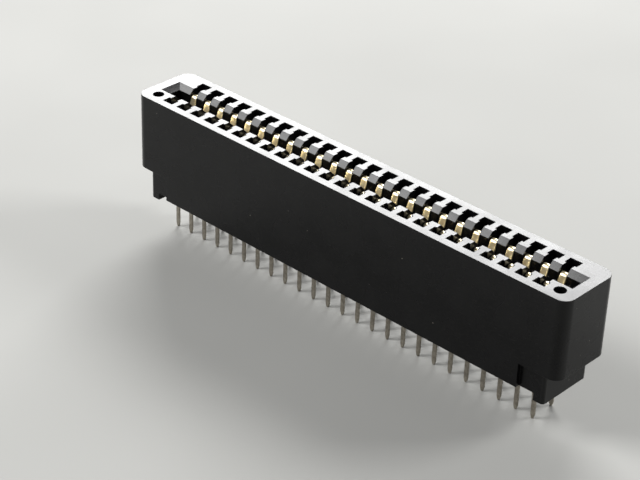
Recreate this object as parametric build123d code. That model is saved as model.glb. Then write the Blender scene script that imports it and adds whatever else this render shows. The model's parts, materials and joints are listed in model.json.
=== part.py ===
"""Card edge connector: a moulded housing with two rows of sprung contacts.

A printed board's edge pushes down into the long slot in the top, and each
contact touches one pad of it. Below, the contacts end in flat solder tails.

X runs along the slot, Y across it and Z up. The origin is the middle of the
rectangle that the solder tails stand on, at the height of their tips.
All sizes are in millimetres.
"""
from build123d import *
import os

# Contacts: how many, and where
pitch = 2.54
contacts_per_row = 25
tail_row_spacing = 3.56

# Heights, each counted from the one before
tail_below_board = 4.4
foot_height = 1.0
body_height = 14.0
ear_height = 10.7

# Outside of the housing
end_beyond_last_contact = 4.82
body_width = 9.4
corner_radius = 1.5
side_wall = 1.1
lower_block_inset = 0.6
lower_block_end_gap = 2.0
lower_block_corner = 0.5
wall_short_of_last_contact = 0.78
foot_length = 1.5

# Card slot
slot_width = 1.9
slot_depth = 8.4
slot_end_wall = 2.2
slot_lead_in = 0.7

# Contact pockets and the ribs between them
pocket_width = 1.7
pocket_floor = 3.0
centre_web = 2.4
rib_head_width = 1.39
rib_head_length = 1.48

# Blind round holes in the top, one near each end
peg_hole_radius = 0.75
peg_hole_depth = 8.4
peg_hole_from_end = 2.3
peg_hole_off_centre = 2.85

# One contact, stamped from strip
strip_thickness = 0.3
tail_width = 0.6
tail_point_width = 0.3
tail_point_length = 0.6
shoulder_height = 2.0
shoulder_ledge = 0.6
beam_start_above_floor = 0.8
bow_above_floor = 3.8
touch_below_top = 3.2
head_below_top = 0.75
head_height = 1.5
head_length = 0.5
head_droop = 0.25

# From the middle plane to the touch bend's corner, before the bend rounds it off
touch_corner_reach = 0.55

# Bends of the strip's centre line, from the tail up
root_bend_radius = 2.0
bow_bend_radius = 1.8
touch_bend_radius = 0.9
head_bend_radius = 0.35

# Clearances round a contact: in the floor, at the pocket's wall, and between two ribs' heads
passage_clearance = 0.05
bow_clearance = 0.83
shoulder_side_clearance = 0.05
beam_side_clearance = 0.225
head_side_clearance = 0.075

# How far the contact's end stands inside the backs of the ribs' heads
head_inside_rib_heads = 0.58

# Worked out from the sizes above
board_level = tail_below_board
underside = board_level + foot_height
top = underside + body_height
ear_underside = top - ear_height
slot_floor = top - slot_depth
pocket_bottom = underside + pocket_floor
ledge_level = underside + shoulder_ledge
last_contact = pitch * (contacts_per_row - 1) / 2
half_length = last_contact + end_beyond_last_contact
half_width = body_width / 2
pocket_outer = half_width - side_wall
slot_end = half_length - slot_end_wall
wall_end = last_contact - wall_short_of_last_contact
lower_block_end = half_length - lower_block_end_gap
tail_offset = tail_row_spacing / 2
bow_reach = pocket_outer - bow_clearance - strip_thickness / 2
rib_head_back = slot_width / 2 + rib_head_length
opening_width = pitch - rib_head_width
shoulder_width = opening_width - 2 * shoulder_side_clearance
beam_width = opening_width - 2 * beam_side_clearance
head_width = opening_width - 2 * head_side_clearance
head_reach = rib_head_back - head_inside_rib_heads
contact_places = [pitch * i - last_contact for i in range(contacts_per_row)]
rows = {"a": -1, "b": 1}


def block(x_from, x_to, y_from, y_to, z_from, z_to):
    """A box between the given limits along X, Y and Z."""
    middle = Pos((x_from + x_to) / 2, (y_from + y_to) / 2, (z_from + z_to) / 2)
    return middle * Box(abs(x_to - x_from), abs(y_to - y_from), z_to - z_from)


def outer_form():
    """The solid outside of the moulding, with nothing cut from it yet."""
    upper_outline = Pos(0, 0, ear_underside) * RectangleRounded(
        2 * half_length, body_width, corner_radius
    )
    upper = extrude(upper_outline, amount=ear_height)
    main_wall = block(-wall_end, wall_end, -half_width, half_width, underside, ear_underside)
    lower_width = body_width - 2 * lower_block_inset
    lower_outline = RectangleRounded(2 * lower_block_end, lower_width, lower_block_corner)
    lower = extrude(Pos(0, 0, board_level) * lower_outline, amount=ear_underside - board_level)
    foot_start = lower_block_end - foot_length
    between_feet = block(
        -foot_start, foot_start, -half_width, half_width, board_level, underside
    )
    return upper + main_wall + (lower - between_feet)


def card_slot():
    """The slot for the board's edge, with the sloped mouth along its sides and ends."""
    half_slot = slot_width / 2
    slot = block(-slot_end, slot_end, -half_slot, half_slot, slot_floor, top)
    mouth_top = Rectangle(2 * (slot_end + slot_lead_in), slot_width + 2 * slot_lead_in)
    mouth_bottom = Rectangle(2 * slot_end, slot_width)
    mouth = loft([Pos(0, 0, top - slot_lead_in) * mouth_bottom, Pos(0, 0, top) * mouth_top])
    return slot + mouth


def contact_pocket(x, side):
    """The room for one contact, which leaves a T-shaped rib on each side of it."""
    half_pocket = pocket_width / 2
    behind_heads = block(
        x - half_pocket,
        x + half_pocket,
        side * rib_head_back,
        side * pocket_outer,
        pocket_bottom,
        top,
    )
    half_opening = opening_width / 2
    open_to_slot = block(
        x - half_opening, x + half_opening, 0, side * rib_head_back, slot_floor, top
    )
    below_slot = block(
        x - half_opening,
        x + half_opening,
        side * centre_web / 2,
        side * rib_head_back,
        pocket_bottom,
        slot_floor,
    )
    return [behind_heads, open_to_slot, below_slot]


def contact_passage(x, side):
    """The way for one contact's shoulder and tail through the floor."""
    half_y = strip_thickness / 2 + passage_clearance
    shoulder_half_x = shoulder_width / 2 + passage_clearance
    tail_half_x = tail_width / 2 + passage_clearance
    y = side * tail_offset
    shoulder_room = block(
        x - shoulder_half_x, x + shoulder_half_x, y - half_y, y + half_y, ledge_level, pocket_bottom
    )
    tail_room = block(
        x - tail_half_x, x + tail_half_x, y - half_y, y + half_y, underside, ledge_level
    )
    return [shoulder_room, tail_room]


def peg_holes():
    """The two blind round holes beside the slot's ends, both on row a's side."""
    x = half_length - peg_hole_from_end
    hole = Cylinder(peg_hole_radius, peg_hole_depth)
    z = top - peg_hole_depth / 2
    return [Pos(side * x, -peg_hole_off_centre, z) * hole for side in (-1, 1)]


def housing():
    """The one-piece moulding that carries every contact."""
    cuts = [card_slot()]
    cuts += peg_holes()
    for side in rows.values():
        for x in contact_places:
            cuts += contact_pocket(x, side)
            cuts += contact_passage(x, side)
    return outer_form() - cuts


def strip_bends():
    """The bent strip seen along X, as a (y, z) face: tail, bow, touch and head."""
    centre_line = FilletPolyline(
        [
            (tail_offset, -strip_thickness),
            (tail_offset, pocket_bottom + beam_start_above_floor),
            (bow_reach, pocket_bottom + bow_above_floor),
            (touch_corner_reach, top - touch_below_top),
            (head_reach - head_length, top - head_below_top),
            (head_reach, top - head_below_top - head_droop),
        ],
        radius=[root_bend_radius, bow_bend_radius, touch_bend_radius, head_bend_radius],
    )
    return make_face(offset(centre_line, amount=strip_thickness / 2, side=Side.BOTH))


def blank_outline():
    """The flat strip seen along Y, as an (x, z) face: point, tail, shoulder, beam, head."""
    shoulder_top = ledge_level + shoulder_height
    head_bottom = top - head_below_top - head_height
    taper = (head_width - beam_width) / 2
    right_half = [
        (tail_point_width / 2, 0),
        (tail_width / 2, tail_point_length),
        (tail_width / 2, ledge_level),
        (shoulder_width / 2, ledge_level),
        (shoulder_width / 2, shoulder_top),
        (beam_width / 2, shoulder_top),
        (beam_width / 2, head_bottom),
        (head_width / 2, head_bottom + taper),
        (head_width / 2, top),
    ]
    left_half = [(-x, z) for x, z in reversed(right_half)]
    return make_face(Polyline(right_half + left_half, close=True))


def contact():
    """One contact of row b, at the middle of its row."""
    bends = extrude(Plane.YZ * strip_bends(), amount=shoulder_width, both=True)
    blank = extrude(Plane.XZ * blank_outline(), amount=half_width, both=True)
    return bends & blank


def save(piece, name):
    """Write one piece as its own STEP file."""
    export_step(piece, os.path.join("parts", name + ".step"))


os.makedirs("parts", exist_ok=True)
save(housing(), "housing")
one_contact = contact()
facing = {"a": Rot(0, 0, 180), "b": Rot(0, 0, 0)}
for row, turn in facing.items():
    for number, x in enumerate(contact_places, start=1):
        save(Pos(x, 0, 0) * turn * one_contact, f"contact_{row}{number:02d}")
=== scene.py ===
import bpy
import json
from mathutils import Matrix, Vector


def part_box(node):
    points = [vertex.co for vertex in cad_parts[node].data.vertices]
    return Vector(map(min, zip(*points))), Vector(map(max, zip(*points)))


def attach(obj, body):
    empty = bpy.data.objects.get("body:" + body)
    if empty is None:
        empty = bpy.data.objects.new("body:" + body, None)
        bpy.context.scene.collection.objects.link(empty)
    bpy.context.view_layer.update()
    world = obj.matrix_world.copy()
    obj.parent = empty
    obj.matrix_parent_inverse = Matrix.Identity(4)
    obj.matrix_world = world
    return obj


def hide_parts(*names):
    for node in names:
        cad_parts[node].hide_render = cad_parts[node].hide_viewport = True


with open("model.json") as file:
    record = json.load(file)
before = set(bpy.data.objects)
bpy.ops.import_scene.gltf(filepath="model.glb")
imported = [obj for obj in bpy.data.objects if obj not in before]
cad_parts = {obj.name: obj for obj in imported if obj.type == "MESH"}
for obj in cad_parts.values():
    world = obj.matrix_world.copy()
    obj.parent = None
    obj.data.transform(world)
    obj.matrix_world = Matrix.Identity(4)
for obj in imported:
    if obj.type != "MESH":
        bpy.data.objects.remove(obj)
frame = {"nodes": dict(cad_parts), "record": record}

"""Looks of a board-mounted card edge connector: one black moulding, fifty plated contacts.

Metres, in the part's own frame: X along the slot, Y across it, Z up, floor at Z = 0.
"""
import json
import math

import bmesh
import bpy
from mathutils import Quaternion, Vector

MM = 0.001
HOUSING_EDGE = 0.06 * MM
STRIP_EDGE = 0.09 * MM
SHARP_EDGE = math.radians(28)
JOINED_WITHIN = 0.0005 * MM
FLAT_WITHIN = math.radians(0.3)
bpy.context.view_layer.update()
SLOTS = {part["node"]: part["material_slot"] for part in frame["record"]["subparts"]}
CONTACTS = sorted(node for node, slot in SLOTS.items() if slot == "contact")


# ---------------------------------------------------------------- helpers

def linear(hex_colour):
    """An sRGB hex colour as linear red, green, blue and alpha."""
    steps = [int(hex_colour[i:i + 2], 16) / 255 for i in (1, 3, 5)]
    return [s / 12.92 if s <= 0.04045 else ((s + 0.055) / 1.055) ** 2.4 for s in steps] + [1.0]


def add(tree, kind, inputs=None, **settings):
    """Add one node, set its options, and give each input a value or a link."""
    node = tree.nodes.new(kind)
    for name, value in settings.items():
        setattr(node, name, value)
    for name, value in (inputs or {}).items():
        if isinstance(value, bpy.types.NodeSocket):
            tree.links.new(value, node.inputs[name])
        else:
            node.inputs[name].default_value = value
    return node


def new_material(name):
    """An empty node material, with its output node."""
    material = bpy.data.materials.new(name)
    material.use_nodes = True
    material.node_tree.nodes.clear()
    return material, material.node_tree


def ramp(tree, factor, stops):
    """A colour ramp through (position, grey or colour) stops."""
    node = add(tree, "ShaderNodeValToRGB", {"Fac": factor})
    elements = node.color_ramp.elements
    while len(elements) < len(stops):
        elements.new(0.5)
    for element, (place, value) in zip(elements, stops):
        element.position = place
        element.color = value if isinstance(value, list) else [value, value, value, 1.0]
    return node.outputs["Color"]


def millimetres(tree):
    """The point on the piece in millimetres, for patterns with a real size."""
    place = add(tree, "ShaderNodeTexCoord").outputs["Object"]
    scaled = add(tree, "ShaderNodeVectorMath", {0: place, 1: (1 / MM,) * 3}, operation="MULTIPLY")
    return scaled.outputs["Vector"]


# ---------------------------------------------------------------- materials

def black_pbt():
    """Glass-filled PBT polyester, moulded against a finely spark-eroded mould.

    The eye sees a near-black satin skin: a fine even grain, slow patches of more and less
    gloss where the melt met the mould, short pale glass fibres just under the skin, and a
    few specks of settled dust.
    """
    grain_mm = 0.16
    patch_mm = 4.0
    fibre_length_mm = 0.5
    fibre_width_mm = 0.07
    speck_spacing_mm = 1.7
    speck_radius_mm = 0.06
    material, tree = new_material("black_pbt_spark_eroded_satin")
    point = millimetres(tree)
    grain = add(tree, "ShaderNodeTexNoise", {
        "Vector": point, "Scale": 1 / grain_mm, "Detail": 3.0, "Roughness": 0.6})
    patch = add(tree, "ShaderNodeTexNoise", {
        "Vector": point, "Scale": 1 / patch_mm, "Detail": 2.0, "Roughness": 0.5})
    turned = add(tree, "ShaderNodeMapping", {
        "Vector": point, "Rotation": (0.4, 0.3, 0.5),
        "Scale": (1 / fibre_length_mm, 1 / fibre_width_mm, 1 / fibre_width_mm)})
    fibre_noise = add(tree, "ShaderNodeTexNoise", {
        "Vector": turned.outputs["Vector"], "Scale": 1.0, "Detail": 1.0, "Roughness": 0.4})
    fibre = ramp(tree, fibre_noise.outputs["Fac"], [(0.62, 0.0), (0.74, 1.0)])
    cells = add(tree, "ShaderNodeTexVoronoi", {
        "Vector": point, "Scale": 1 / speck_spacing_mm, "Randomness": 1.0})
    near_centre = add(tree, "ShaderNodeMath", {
        0: cells.outputs["Distance"], 1: speck_radius_mm / speck_spacing_mm},
        operation="LESS_THAN")
    some_cells = add(tree, "ShaderNodeSeparateColor", {"Color": cells.outputs["Color"]})
    chosen = add(tree, "ShaderNodeMath", {0: some_cells.outputs["Red"], 1: 0.45},
                 operation="GREATER_THAN")
    speck = add(tree, "ShaderNodeMath", {
        0: near_centre.outputs["Value"], 1: chosen.outputs["Value"]}, operation="MULTIPLY")
    skin = ramp(tree, patch.outputs["Fac"], [(0.3, linear("#09090a")), (0.7, linear("#0e0e0f"))])
    with_fibre = add(tree, "ShaderNodeMix", {
        "Factor": fibre, "A": skin, "B": linear("#1e1e1d")}, data_type="RGBA")
    with_dust = add(tree, "ShaderNodeMix", {
        "Factor": speck.outputs["Value"], "A": with_fibre.outputs["Result"],
        "B": linear("#8c8880")}, data_type="RGBA")
    gloss = add(tree, "ShaderNodeMapRange", {
        "Value": patch.outputs["Fac"], "From Min": 0.3, "From Max": 0.7,
        "To Min": 0.24, "To Max": 0.31})
    bump = add(tree, "ShaderNodeBump", {
        "Height": grain.outputs["Fac"], "Strength": 0.6, "Distance": 0.006 * MM})
    shader = add(tree, "ShaderNodeBsdfPrincipled", {
        "Base Color": with_dust.outputs["Result"], "Roughness": gloss.outputs["Result"],
        "Normal": bump.outputs["Normal"], "IOR": 1.5, "Specular IOR Level": 0.23})
    add(tree, "ShaderNodeOutputMaterial", {"Surface": shader.outputs["BSDF"]})
    return material


def plated_strip():
    """Phosphor bronze strip, stamped and bent: gold plate above, matt tin on the tail.

    The eye sees a thin pale gold, nearly white where it catches the light, with faint lines
    along the strip from rolling. It turns to dull grey-tan tin below, where the plating line
    lies hidden in the moulding.
    """
    line_mm = 0.06
    line_length_mm = 1.5
    cloud_mm = 0.5
    plating_line_z = 7.4 * MM
    plating_blur = 0.6 * MM
    material, tree = new_material("gold_over_bronze_strip_tinned_tail")
    point = millimetres(tree)
    stretched = add(tree, "ShaderNodeMapping", {
        "Vector": point, "Scale": (1 / line_mm, 1 / line_length_mm, 1 / line_length_mm)})
    lines = add(tree, "ShaderNodeTexNoise", {
        "Vector": stretched.outputs["Vector"], "Scale": 1.0, "Detail": 2.0, "Roughness": 0.5})
    cloud = add(tree, "ShaderNodeTexNoise", {
        "Vector": point, "Scale": 1 / cloud_mm, "Detail": 2.0, "Roughness": 0.5})
    height = add(tree, "ShaderNodeSeparateXYZ", {
        "Vector": add(tree, "ShaderNodeTexCoord").outputs["Object"]})
    upper = add(tree, "ShaderNodeMapRange", {
        "Value": height.outputs["Z"], "From Min": plating_line_z - plating_blur,
        "From Max": plating_line_z + plating_blur})
    gold = ramp(tree, cloud.outputs["Fac"], [(0.3, linear("#f1dfb4")), (0.7, linear("#f9eed0"))])
    tin = ramp(tree, cloud.outputs["Fac"], [(0.3, linear("#8d877c")), (0.7, linear("#aca69a"))])
    colour = add(tree, "ShaderNodeMix", {
        "Factor": upper.outputs["Result"], "A": tin, "B": gold}, data_type="RGBA")
    roughness = add(tree, "ShaderNodeMapRange", {
        "Value": upper.outputs["Result"], "To Min": 0.42, "To Max": 0.3})
    streaked = add(tree, "ShaderNodeMath", {
        0: lines.outputs["Fac"], 1: 0.08, 2: roughness.outputs["Result"]},
        operation="MULTIPLY_ADD")
    bump = add(tree, "ShaderNodeBump", {
        "Height": lines.outputs["Fac"], "Strength": 0.12, "Distance": 0.001 * MM})
    shader = add(tree, "ShaderNodeBsdfPrincipled", {
        "Base Color": colour.outputs["Result"], "Roughness": streaked.outputs["Value"],
        "Normal": bump.outputs["Normal"], "Metallic": 1.0})
    add(tree, "ShaderNodeOutputMaterial", {"Surface": shader.outputs["BSDF"]})
    return material


def pale_board():
    """Matt painted board under the object: plain, pale, with hardly any grain."""
    material, tree = new_material("matt_pale_painted_board")
    mottle = add(tree, "ShaderNodeTexNoise", {
        "Vector": millimetres(tree), "Scale": 1 / 40.0, "Detail": 2.0})
    colour = ramp(tree, mottle.outputs["Fac"], [(0.3, linear("#acaca9")), (0.7, linear("#b1b1ae"))])
    shader = add(tree, "ShaderNodeBsdfPrincipled", {
        "Base Color": colour, "Roughness": 0.9, "Specular IOR Level": 0.2})
    add(tree, "ShaderNodeOutputMaterial", {"Surface": shader.outputs["BSDF"]})
    return material


# ---------------------------------------------------------------- meshes

def clean_copy(node):
    """A copy of a CAD node's mesh, with its corners joined and its flat faces whole."""
    work = bmesh.new()
    work.from_mesh(frame["nodes"][node].data)
    bmesh.ops.remove_doubles(work, verts=work.verts, dist=JOINED_WITHIN)
    bmesh.ops.dissolve_limit(
        work, angle_limit=FLAT_WITHIN, verts=work.verts, edges=work.edges)
    mesh = bpy.data.meshes.new(node + "_clean")
    work.to_mesh(mesh)
    work.free()
    mesh.materials.clear()
    return mesh


def link(name, mesh):
    """A new object that shows a mesh, in the scene."""
    piece = bpy.data.objects.new(name, mesh)
    bpy.context.scene.collection.objects.link(piece)
    return piece


def baked(piece):
    """Turn a piece's live modifiers into its own plain mesh."""
    bpy.context.view_layer.update()
    graph = bpy.context.evaluated_depsgraph_get()
    mesh = bpy.data.meshes.new_from_object(
        piece.evaluated_get(graph), preserve_all_data_layers=True, depsgraph=graph)
    piece.modifiers.clear()
    piece.data = mesh
    mesh.name = piece.name
    return piece


def rounded(piece, width, segments):
    """Break a piece's sharp edges with a small radius, and keep its large faces flat."""
    for face in piece.data.polygons:
        face.use_smooth = True
    bevel = piece.modifiers.new("edge_radius", "BEVEL")
    bevel.width = width
    bevel.segments = segments
    bevel.limit_method = "ANGLE"
    bevel.angle_limit = SHARP_EDGE
    bevel.use_clamp_overlap = True
    flat = piece.modifiers.new("flat_faces", "WEIGHTED_NORMAL")
    flat.mode = "FACE_AREA_WITH_ANGLE"
    flat.weight = 100
    flat.keep_sharp = False
    return piece


# ---------------------------------------------------------------- contact rows

def row_tree():
    """Geometry nodes that set one strip out along X, a pitch apart, as plain mesh."""
    tree = bpy.data.node_groups.new("contact_row", "GeometryNodeTree")
    face = tree.interface
    for name, kind in (("Strip", "NodeSocketObject"), ("Count", "NodeSocketInt"),
                       ("First Place", "NodeSocketVector"), ("Pitch", "NodeSocketFloat"),
                       ("Finish", "NodeSocketMaterial")):
        face.new_socket(name=name, in_out="INPUT", socket_type=kind)
    face.new_socket(name="Geometry", in_out="OUTPUT", socket_type="NodeSocketGeometry")
    given = add(tree, "NodeGroupInput")
    step = add(tree, "ShaderNodeCombineXYZ", {"X": given.outputs["Pitch"]})
    places = add(tree, "GeometryNodeMeshLine", {
        "Count": given.outputs["Count"], "Start Location": given.outputs["First Place"],
        "Offset": step.outputs["Vector"]}, mode="OFFSET")
    strip = add(tree, "GeometryNodeObjectInfo", {"Object": given.outputs["Strip"]})
    copies = add(tree, "GeometryNodeInstanceOnPoints", {
        "Points": places.outputs["Mesh"], "Instance": strip.outputs["Geometry"]})
    plain = add(tree, "GeometryNodeRealizeInstances", {"Geometry": copies.outputs["Instances"]})
    finished = add(tree, "GeometryNodeSetMaterial", {
        "Geometry": plain.outputs["Geometry"], "Material": given.outputs["Finish"]})
    add(tree, "NodeGroupOutput", {"Geometry": finished.outputs["Geometry"]})
    return tree


def contact_row(name, nodes, tree, finish):
    """One row of contacts as one piece, from its first node's strip and the row's pitch."""
    first_low, first_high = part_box(nodes[0])
    last_low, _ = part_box(nodes[-1])
    middle_x = (first_low.x + first_high.x) / 2
    pitch = (last_low.x - first_low.x) / (len(nodes) - 1)
    strip = link(name + "_strip", clean_copy(nodes[0]))
    for vertex in strip.data.vertices:
        vertex.co.x -= middle_x
    rounded(strip, STRIP_EDGE, 3)
    baked(strip)
    row = link(name, bpy.data.meshes.new(name))
    modifier = row.modifiers.new("row", "NODES")
    modifier.node_group = tree
    values = {"Strip": strip, "Count": len(nodes), "First Place": (middle_x, 0.0, 0.0),
              "Pitch": pitch, "Finish": finish}
    for item in tree.interface.items_tree:
        if item.in_out == "INPUT" and item.name in values:
            modifier[item.identifier] = values[item.name]
    baked(row)
    bpy.data.objects.remove(strip)
    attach(row, "root")
    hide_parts(*nodes)
    return row


# ---------------------------------------------------------------- the object

moulding = link("housing_moulding", clean_copy("housing"))
moulding.data.materials.append(black_pbt())
rounded(moulding, HOUSING_EDGE, 2)
baked(moulding)
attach(moulding, "root")
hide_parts("housing")

strip_finish = plated_strip()
row_nodes = row_tree()
contact_row("contacts_row_a", [n for n in CONTACTS if "_a" in n], row_nodes, strip_finish)
contact_row("contacts_row_b", [n for n in CONTACTS if "_b" in n], row_nodes, strip_finish)


# ---------------------------------------------------------------- stage, camera and light

def board_floor():
    """A wide pale floor that the tails stand on."""
    half = 2.5  # metres
    mesh = bpy.data.meshes.new("floor")
    corners = [(-half, -half, 0), (half, -half, 0), (half, half, 0), (-half, half, 0)]
    mesh.from_pydata(corners, [], [(0, 1, 2, 3)])
    mesh.materials.append(pale_board())
    floor = link("floor", mesh)
    return floor


def soft_light(name, azimuth, elevation, distance, size, radiance):
    """A rectangular panel of even brightness that faces the object."""
    a, e = math.radians(azimuth), math.radians(elevation)
    outward = Vector((math.sin(a) * math.cos(e), -math.cos(a) * math.cos(e), math.sin(e)))
    light = bpy.data.lights.new(name, "AREA")
    light.shape = "RECTANGLE"
    light.size, light.size_y = size
    light.energy = radiance * math.pi * size[0] * size[1]
    lamp = bpy.data.objects.new(name, light)
    lamp.location = outward * distance
    lamp.rotation_mode = "QUATERNION"
    lamp.rotation_quaternion = (-outward).to_track_quat("-Z", "Y")
    bpy.context.scene.collection.objects.link(lamp)
    return lamp


def studio_world():
    """Even low light from all round, which camera, gloss and glass see as a pale wall."""
    world = bpy.data.worlds.new("studio")
    world.use_nodes = True
    tree = world.node_tree
    tree.nodes.clear()
    ray = add(tree, "ShaderNodeLightPath")
    either = add(tree, "ShaderNodeMath", {
        0: ray.outputs["Is Camera Ray"], 1: ray.outputs["Is Glossy Ray"]}, operation="MAXIMUM")
    seen = add(tree, "ShaderNodeMath", {
        0: either.outputs["Value"], 1: ray.outputs["Is Transmission Ray"]}, operation="MAXIMUM")
    lighting = add(tree, "ShaderNodeBackground", {"Color": linear("#ffffff"), "Strength": 0.15})
    wall = add(tree, "ShaderNodeBackground", {"Color": linear("#c6c6c4"), "Strength": 1.0})
    mixed = add(tree, "ShaderNodeMixShader", {
        0: seen.outputs["Value"], 1: lighting.outputs["Background"],
        2: wall.outputs["Background"]})
    add(tree, "ShaderNodeOutputWorld", {"Surface": mixed.outputs["Shader"]})
    bpy.context.scene.world = world


def viewing_camera():
    """The camera, from where it looks, how far off it stands and how far it leans."""
    azimuth, elevation, lean = (math.radians(d) for d in (42.382, 30.906, 2.201))
    aim = Vector((-3.26, -2.92, 10.07)) * MM
    distance = 0.2321
    back = Vector((math.sin(azimuth) * math.cos(elevation),
                   -math.cos(azimuth) * math.cos(elevation), math.sin(elevation)))
    data = bpy.data.cameras.new("camera")
    data.sensor_width = 36.0
    data.lens = 104.72
    data.clip_start, data.clip_end = 0.01, 20.0
    camera = bpy.data.objects.new("camera", data)
    camera.location = aim + back * distance
    camera.rotation_mode = "QUATERNION"
    camera.rotation_quaternion = (-back).to_track_quat("-Z", "Y") @ Quaternion((0, 0, 1), lean)
    bpy.context.scene.collection.objects.link(camera)
    bpy.context.scene.camera = camera


board_floor()
studio_world()
viewing_camera()
soft_light("back_panel", 219.6, 29.0, 0.6, (0.36, 0.2), 20.0)
soft_light("side_panel", 141.0, 35.0, 0.6, (0.18, 0.16), 18.0)
soft_light("left_panel", 311.0, 41.5, 0.6, (0.27, 0.19), 19.0)
bpy.context.scene.view_settings.view_transform = "Standard"
